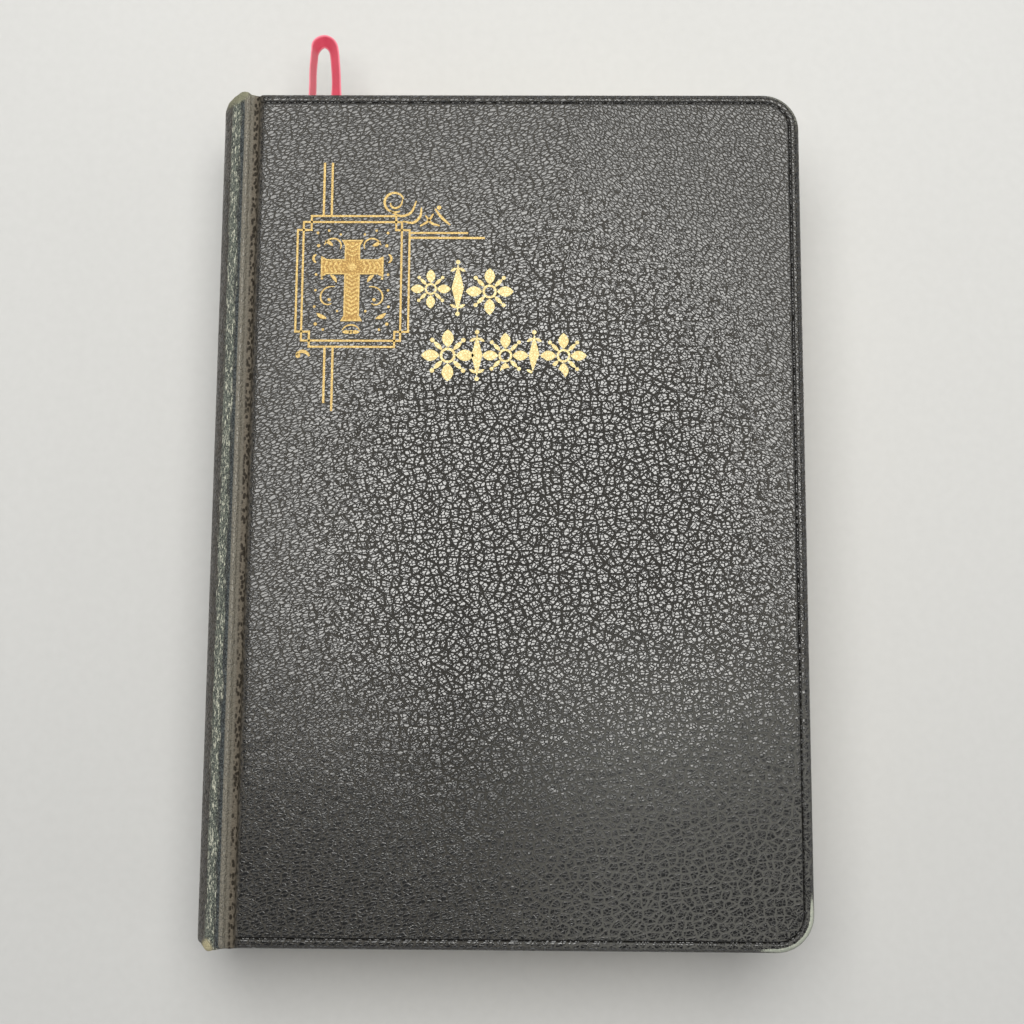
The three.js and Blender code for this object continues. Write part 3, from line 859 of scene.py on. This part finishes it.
def make_sheet(name, material, x_lines, x_end, half_height, radius, height_at, thickness, step=6.0):
    """A sheet of paper with round corners at the fore-edge; height_at gives its z over x and y."""
    plan, rows, columns = panel(x_lines, x_end, half_height, radius, PAPER_EDGE, step)
    top = [(x, y, height_at(x, y) + thickness / 2) for x, y, _ in plan]
    low = [(x, y, height_at(x, y) - thickness / 2) for x, y, _ in plan]
    return mesh_object(name, top + low, shell_faces(rows, columns))


def make_endpapers(material, front):
    """One folded endpaper: pastedown, free flyleaf and the strip glued to the block."""
    side = "front" if front else "back"

    def z(depth):
        return TOP - depth if front else depth

    joint = spaced(FOLD_X, -57.0, 0.35)
    lines = joint + spaced(-53.0, 57.0, 6.0)

    def pasted(x, y):
        sag = 0.12 * (1 - smoothstep(-63.5, -60.5, x))
        return z(PASTEDOWN_DEPTH + sag)

    paste_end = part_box(side + "_pastedown")[1]
    obj = make_sheet(side + "_pastedown_sheet", material, lines, paste_end.x / MM, paste_end.y / MM,
                     PAGE_RADIUS, pasted, PASTEDOWN_THICKNESS)
    finish_piece(obj, material, "endpaper", side + "_pastedown")
    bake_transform(obj)

    leaf_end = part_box(side + "_flyleaf")[1]

    def free(x, y):
        lift = 0.04 * noise.noise(Vector((x / 40, y / 40, 3)))
        return z(FLYLEAF_DEPTH + 0.12 * smoothstep(-61.5, -59.0, x)) + lift

    leaf = make_sheet(side + "_flyleaf_sheet", material, lines, leaf_end.x / MM, leaf_end.y / MM,
                      PAGE_RADIUS, free, FLYLEAF_THICKNESS)
    finish_piece(leaf, material, "endpaper", side + "_flyleaf")
    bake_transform(leaf)

    stub_low, stub_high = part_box(side + "_endpaper_stub")
    half = stub_high.y / MM
    strip = []
    for y in spaced(-half, half, 6.0):
        wander = 0.12 * noise.noise(Vector((y / 8, 2.0, 1.0)))
        x0, x1 = stub_low.x / MM, stub_high.x / MM + wander
        z0, z1 = stub_low.z / MM, stub_high.z / MM
        strip += [(x0, y, z0), (x1, y, z0), (x1, y, z1), (x0, y, z1)]
    faces = tube_faces(len(strip) // 4, 4)
    stub = mesh_object(side + "_stub_strip", strip, faces, smooth=False)
    finish_piece(stub, material, "endpaper", side + "_endpaper_stub")
    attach(stub, "text_block")


# ---- Spine layers and endbands ----

def make_spine_layer(name, material, slot, radius, thickness, reach, half_height, waver):
    """A layer glued round the block's spine: an arc of sheet with slightly uneven ends."""
    top = math.asin(reach / radius)
    angles = np.linspace(top, -top, 41)
    rows = spaced(-half_height, half_height, 8.0)
    points = []
    for r in (radius + thickness, radius):
        for y in rows:
            for a in angles:
                drift = 0.0
                if abs(y) == half_height:
                    drift = waver * noise.noise(Vector((a * 6, y, 0.3)))
                points.append((SPINE_CENTRE_X - r * math.cos(a), y + drift, MIDDLE + r * math.sin(a)))
    faces = shell_faces(len(rows), len(angles), flip=True)
    obj = mesh_object(name + "_layer", points, faces)
    finish_piece(obj, material, slot, name)
    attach(obj, "text_block")


def make_endband(node, material):
    """A striped band wound round a cord, bent to the spine's curve."""
    low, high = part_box(node)
    y = (low.y + high.y) / 2 / MM
    radius, reach, turns = 16.8, 0.78, 34
    steps = turns * 8
    path, stripes = [], []
    for i in range(steps + 1):
        a = reach * (1 - 2 * i / steps)
        path.append((SPINE_CENTRE_X - radius * math.cos(a), y, MIDDLE + radius * math.sin(a)))

    def wound(i):
        return 0.64 + 0.09 * abs(math.sin(math.pi * turns * i / steps))

    points, faces = tube(path, wound, sides=12)
    for i in range(steps + 1):
        stripes += [0.5 + 0.5 * math.sin(math.pi * turns * i / steps / 1.5)] * 12
    obj = mesh_object(node + "_cloth", points, faces)
    add_attributes(obj, stripe=stripes)
    finish_piece(obj, material, "endband", node)
    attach(obj, "text_block")


# ---- Foil stamping ----

class Foil:
    """Collects flat foil shapes, then makes one mesh of them."""

    def __init__(self, low=FOIL_LOW, high=FOIL_HIGH):
        self.points, self.faces = [], []
        self.low, self.high = low, high

    def plate(self, outline):
        """A filled outline, anticlockwise."""
        n, s = len(outline), len(self.points)
        self.points += [(x, y, self.high) for x, y in outline]
        self.points += [(x, y, self.low) for x, y in outline]
        self.faces.append(tuple(range(s, s + n)))
        for i in range(n):
            j = (i + 1) % n
            self.faces.append((s + j, s + i, s + n + i, s + n + j))

    def line(self, path, width, closed=False, taper=False):
        """A line of constant or tapering width along a path, with mitred corners."""
        p = [np.array(q, float) for q in path]
        n = len(p)
        left, right = [], []
        for i in range(n):
            before = p[i] - p[i - 1] if (i or closed) else p[1] - p[0]
            after = p[(i + 1) % n] - p[i] if (i < n - 1 or closed) else p[-1] - p[-2]
            before, after = before / np.linalg.norm(before), after / np.linalg.norm(after)
            normal = np.array((-before[1] - after[1], before[0] + after[0]))
            normal /= max(np.linalg.norm(normal), 1e-9)
            stretch = 1 / max(0.35, float(np.dot(normal, (-after[1], after[0]))))
            half = width / 2
            if taper:
                half *= 0.25 + 0.75 * math.sin(math.pi * (0.12 + 0.76 * i / (n - 1)))
            left.append(p[i] + normal * half * stretch)
            right.append(p[i] - normal * half * stretch)
        for i in range(n if closed else n - 1):
            j = (i + 1) % n
            self.plate([right[i], right[j], left[j], left[i]])

    def box_line(self, rect, width):
        x0, y0, x1, y1 = rect
        self.line([(x0, y0), (x1, y0), (x1, y1), (x0, y1)], width, closed=True)

    def disc(self, x, y, r, sides=14):
        ring = [2 * math.pi * k / sides for k in range(sides)]
        self.plate([(x + r * math.cos(a), y + r * math.sin(a)) for a in ring])

    def leaf(self, x, y, length, width, turn, bend=0.0):
        """A pointed leaf from its stalk at x, y."""
        steps = 8
        upper, lower = [], []
        for k in range(steps + 1):
            t = k / steps
            mid = bend * math.sin(math.pi * t)
            half = width / 2 * math.sin(math.pi * t) ** 0.8
            upper.append((t * length, mid + half))
            lower.append((t * length, mid - half))
        shape = lower + upper[-2:0:-1]
        c, s = math.cos(math.radians(turn)), math.sin(math.radians(turn))
        self.plate([(x + a * c - b * s, y + a * s + b * c) for a, b in shape])

    def arc(self, x, y, r, start, end, width, taper=True, r_end=None):
        """An arc or spiral from one angle to another, in degrees."""
        steps = max(8, int(abs(end - start) / 12))
        r_end = r if r_end is None else r_end
        path = []
        for k in range(steps + 1):
            a = math.radians(start + (end - start) * k / steps)
            q = r + (r_end - r) * k / steps
            path.append((x + q * math.cos(a), y + q * math.sin(a)))
        self.line(path, width, taper=taper)

    def make(self, name, material, *nodes):
        obj = mesh_object(name, self.points, self.faces, smooth=False)
        finish_piece(obj, material, "foil", *nodes)
        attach(obj, "front_cover")
        return obj


def make_frame_foil(material):
    """The notched double frame."""
    foil = Foil()
    ax0, ay0, ax1, ay1 = FRAME_WIDE
    cx0, cy0, cx1, cy1 = FRAME_TALL
    notched = [
        (cx0, cy0), (cx1, cy0), (cx1, ay0), (ax1, ay0), (ax1, ay1), (cx1, ay1),
        (cx1, cy1), (cx0, cy1), (cx0, ay1), (ax0, ay1), (ax0, ay0), (cx0, ay0),
    ]
    foil.line(notched, 0.5, closed=True)
    foil.box_line(FRAME_MIDDLE, 0.5)
    foil.make("foil_frame_stamp", material, "foil_frame")


def make_cross_foil(material, relief):
    """A plain Latin cross with flared ends, filled with chevrons."""
    x, low, high, arm_y = CROSS_X, 45.9, 66.3, 59.6
    half, arm, flare = 1.75, 7.6, 0.65
    base = Foil(high=FOIL_HIGH - 0.02)
    outline = [
        (x - half - flare, low), (x + half + flare, low), (x + half, low + 1.2),
        (x + half, arm_y - half), (x + arm - 1.2, arm_y - half),
        (x + arm, arm_y - half - flare), (x + arm, arm_y + half + flare),
        (x + arm - 1.2, arm_y + half), (x + half, arm_y + half), (x + half, high - 1.2),
        (x + half + flare, high), (x - half - flare, high), (x - half, high - 1.2),
        (x - half, arm_y + half), (x - arm + 1.2, arm_y + half),
        (x - arm, arm_y + half + flare), (x - arm, arm_y - half - flare),
        (x - arm + 1.2, arm_y - half), (x - half, arm_y - half), (x - half, low + 1.2),
    ]
    base.plate(outline)
    base.make("foil_cross_ground", material, "foil_cross")
    lines = Foil(low=FOIL_HIGH - 0.03, high=FOIL_HIGH + 0.05)
    lines.line(outline, 0.38, closed=True)
    pitch, point, inner, fine = 1.05, 0.8, half - 0.35, 0.36
    below = spaced(low + 1.6, arm_y - half - 0.8, pitch)
    above = spaced(arm_y + half + 1.0, high - 1.6, pitch)
    for y in below + above:
        lines.line([(x - inner, y + point), (x, y), (x + inner, y + point)], fine)
    for dx in spaced(half + 0.9, arm - 1.4, pitch):
        for side in (-1, 1):
            near, tip = x + side * dx, x + side * (dx + point)
            lines.line([(near, arm_y - inner), (tip, arm_y), (near, arm_y + inner)], fine)
    lines.plate([(x, arm_y - 1.2), (x + 1.2, arm_y), (x, arm_y + 1.2), (x - 1.2, arm_y)])
    lines.make("foil_cross_lines", relief)


# The dots on one side of the cross, as x past the tendril's place, y and radius; the spread
# draws them in towards it.
FILLING_DOTS = [
    (3.9, 68.3, 0.36), (0.6, 68.9, 0.32), (3.6, 65.0, 0.42), (4.1, 57.6, 0.34),
    (2.4, 56.6, 0.3), (0.2, 51.2, 0.42), (4.2, 53.6, 0.32), (4.4, 49.4, 0.34),
    (-2.2, 48.3, 0.3), (4.0, 45.0, 0.42), (-2.8, 67.9, 0.3), (1.8, 43.6, 0.34),
]
DOT_SPREAD = 0.86


def make_filling_foil(material):
    """Tendrils, leaves and dots between the cross and its frame."""
    foil = Foil()
    for side in (-1, 1):
        x = CROSS_X + side * 5.4
        foil.arc(x - side * 0.9, 64.7, 2.6, 90 - side * 80, 90 + side * 110, 0.42, r_end=1.5)
        foil.arc(x, 51.4, 3.3, 90 + side * 20, 90 - side * 200, 0.42, r_end=1.2)
        foil.leaf(x - side * 1.6, 55.6, 2.6, 0.9, 90 - side * 40, 0.25 * side)
        foil.leaf(x + side * 0.6, 46.4, 3.0, 1.0, 90 - side * 62, -0.2 * side)
        foil.leaf(x + side * 1.6, 66.2, 2.5, 0.9, 90 + side * 120, 0.2)
        foil.arc(x + side * 3.2, 61.7, 1.1, 90 - side * 20, 90 - side * 160, 0.6)
        for dx, y, r in FILLING_DOTS:
            foil.disc(x + side * dx * DOT_SPREAD, y, r)
    foil.arc(CROSS_X, 42.4, 2.4, 25, 155, 0.4)
    for turn in (0, 180):
        foil.leaf(CROSS_X, 43.0, 2.2, 0.9, turn)
    foil.disc(CROSS_X, 43.0, 0.5)
    foil.make("foil_filling", material)


def make_rule_foil(material):
    """Double rules that run out from the frame, with a scroll, sprigs and a flourish."""
    foil = Foil()
    for x, low, high in ((-45.0, 72.9, 86.5), (-43.0, 72.9, 86.5), (-44.0, 25.1, 39.0),
                         (-42.0, 23.1, 39.0)):
        foil.line([(x, low), (x, high)], 0.55)
    foil.line([(-23.2, 68.35), (-8.9, 68.35)], 0.5)
    foil.line([(-23.2, 67.08), (-4.7, 67.08)], 0.55)
    foil.arc(-27.3, 76.3, 2.7, 300, 20, 0.62, r_end=2.3)
    foil.arc(-27.6, 76.2, 2.3, 20, -170, 0.5, r_end=0.7)
    for width, sprig in (
        (0.6, [(-28.4, 73.9), (-25.8, 72.7), (-23.2, 73.6), (-21.9, 76.6)]),
        (0.65, [(-25.2, 71.3), (-22.6, 71.0), (-20.9, 72.6), (-20.6, 74.9)]),
        (0.6, [(-20.9, 70.1), (-18.9, 71.4), (-17.6, 73.3)]),
        (0.6, [(-19.6, 72.9), (-18.0, 70.9), (-16.0, 70.2)]),
        (0.65, [(-17.2, 74.6), (-15.6, 72.4), (-13.4, 70.4)]),
    ):
        foil.line(smooth_path(sprig, 6), width, taper=True)
    foil.disc(-16.2, 74.9, 0.55)
    foil.arc(-49.3, 36.3, 1.6, 20, 150, 0.85, r_end=1.9)
    foil.disc(-50.5, 37.0, 0.6)
    foil.make("foil_rules", material)


def fleuron(foil, x, y, size):
    """Four petals round a pierced middle."""
    for turn in (0, 90, 180, 270):
        c, s = math.cos(math.radians(turn)), math.sin(math.radians(turn))
        foil.leaf(x + 0.16 * size * c, y + 0.16 * size * s, 0.36 * size, 0.23 * size, turn)
    for turn in (45, 135, 225, 315):
        c, s = math.cos(math.radians(turn)), math.sin(math.radians(turn))
        foil.leaf(x + 0.15 * size * c, y + 0.15 * size * s, 0.24 * size, 0.09 * size, turn)
        foil.disc(x + 0.43 * size * c, y + 0.43 * size * s, 0.045 * size)
    foil.arc(x, y, 0.13 * size, 0, 360, 0.05 * size, taper=False)


def spindle(foil, x, low, high, width):
    """A tall lozenge with a ball and a pair of small leaves at each end."""
    middle = (low + high) / 2
    foil.plate([(x - width / 2, middle), (x, low + 1.0), (x + width / 2, middle), (x, high - 1.0)])
    foil.disc(x, low + 0.5, 0.55)
    foil.disc(x, high - 0.5, 0.55)
    for side in (-1, 1):
        foil.leaf(x + side * 0.2, low + 2.0, 1.9, 0.75, 90 - side * 62)
        foil.leaf(x + side * 0.2, high - 2.0, 1.9, 0.75, 270 + side * 62)


def make_ornament_foil(material):
    """Two rows of fleurons and spindles, to the right of the frame and below it."""
    foil = Foil()
    fleuron(foil, -18.0, 54.0, 9.6)
    spindle(foil, -11.3, 47.2, 61.4, 3.0)
    fleuron(foil, -3.4, 53.4, 11.4)
    for x, size in ((-13.6, 12.6), (0.6, 11.0), (14.9, 11.0)):
        fleuron(foil, x, 37.2, size)
    for x in (-6.4, 7.7):
        spindle(foil, x, 30.8, 43.6, 2.7)
    foil.make("foil_ornaments", material)


# ---- Floor and light ----

def make_floor():
    """A plain pale tabletop."""
    size, count = 4000.0, 13
    lines = spaced(-size, size, 2 * size / (count - 1))
    points = [(x, y, 0.0) for y in lines for x in lines]
    floor = mesh_object("floor", points, grid_faces(count, count))
    n = Nodes("pale_floor")
    speck = n.noise(n.place(), 0.4, 4.0)
    n.shade(Base_Color=n.mix(speck, rgb(0.46, 0.46, 0.455), rgb(0.50, 0.50, 0.495)))
    n.shade(Roughness=0.75)
    floor.data.materials.append(n.material)


def area_light(name, place, target, size, power, colour=(1.0, 1.0, 1.0)):
    """A rectangular soft light that faces a target; places and sizes in metres."""
    data = bpy.data.lights.new(name, "AREA")
    data.shape = "RECTANGLE"
    data.size, data.size_y = size
    data.energy = power
    data.color = colour
    light = bpy.data.objects.new(name, data)
    light.location = place
    aim = Vector(target) - Vector(place)
    light.rotation_euler = aim.to_track_quat("-Z", "Y").to_euler()
    bpy.context.collection.objects.link(light)


def make_lights():
    """A large softbox overhead, nearer the head, and a weak one on each of the four sides."""
    warm_white = (1.0, 0.985, 0.94)
    area_light("key", (0.0, 0.20, 0.64), (0.0, 0.14, 0.0), (0.62, 0.52), 6.5, warm_white)
    for name, x, y, power in (("left", -0.9, 0.0, 1.4), ("right", 0.9, 0.0, 2.2),
                              ("head", 0.0, 1.0, 3.0), ("tail", 0.0, -1.0, 2.2)):
        area_light(name, (x, y, 0.38), (0.0, 0.0, 0.02), (0.9, 0.5), power)


def make_room():
    """A dim, even room, with colours shown as they are."""
    world = bpy.data.worlds.new("room")
    world.use_nodes = True
    background = world.node_tree.nodes["Background"]
    background.inputs["Color"].default_value = rgb(0.9, 0.95, 1.0)
    background.inputs["Strength"].default_value = 0.11
    bpy.context.scene.world = world
    bpy.context.scene.view_settings.view_transform = "Standard"


# ---- The object ----

def dress_node(name, material):
    """Gives a CAD node that stays a procedural material."""
    obj = bpy.data.objects[name]
    obj.data.materials.clear()
    obj.data.materials.append(material)


def main():
    """Makes the camera, every piece, the floor and the light."""
    make_camera()
    make_ribbon(ribbon_cloth())

    leather = cover_leather()
    make_cover("front_cover", leather, front=True)
    make_cover("back_cover", leather, front=False)
    make_spine(spine_leather())

    make_sections(page_paper())
    paper = end_paper()
    make_endpapers(paper, front=True)
    make_endpapers(paper, front=False)

    board = pulp_board("pulp_board", rgb(0.34, 0.27, 0.18), rgb(0.20, 0.15, 0.09))
    for name in ("front_board", "back_board", "spine_inlay"):
        dress_node(name, board)
    kraft = pulp_board("kraft_paper", rgb(0.46, 0.31, 0.16), rgb(0.34, 0.22, 0.10))
    make_spine_layer(
        "spine_mull", gauze(), "mull", radius=BLOCK_RADIUS + 0.12, thickness=0.2, reach=13.4,
        half_height=92.0, waver=0.6,
    )
    make_spine_layer(
        "spine_lining", kraft, "lining", radius=BLOCK_RADIUS + 0.44, thickness=0.3, reach=13.6,
        half_height=101.0, waver=0.3,
    )
    cloth = band_cloth()
    make_endband("head_band", cloth)
    make_endband("tail_band", cloth)

    gold = foil_metal("gold_foil", rgb(0.52, 0.385, 0.145), rgb(0.36, 0.24, 0.078), 0.48)
    pale_gold = foil_metal("pale_gold_foil", rgb(0.60, 0.53, 0.29), rgb(0.40, 0.31, 0.13), 0.46)
    dull_gold = foil_metal("dull_gold_foil", rgb(0.46, 0.305, 0.095), rgb(0.22, 0.12, 0.028), 0.5)
    make_frame_foil(gold)
    make_cross_foil(dull_gold, gold)
    make_filling_foil(gold)
    make_rule_foil(gold)
    make_ornament_foil(pale_gold)

    make_floor()
    make_lights()
    make_room()


main()
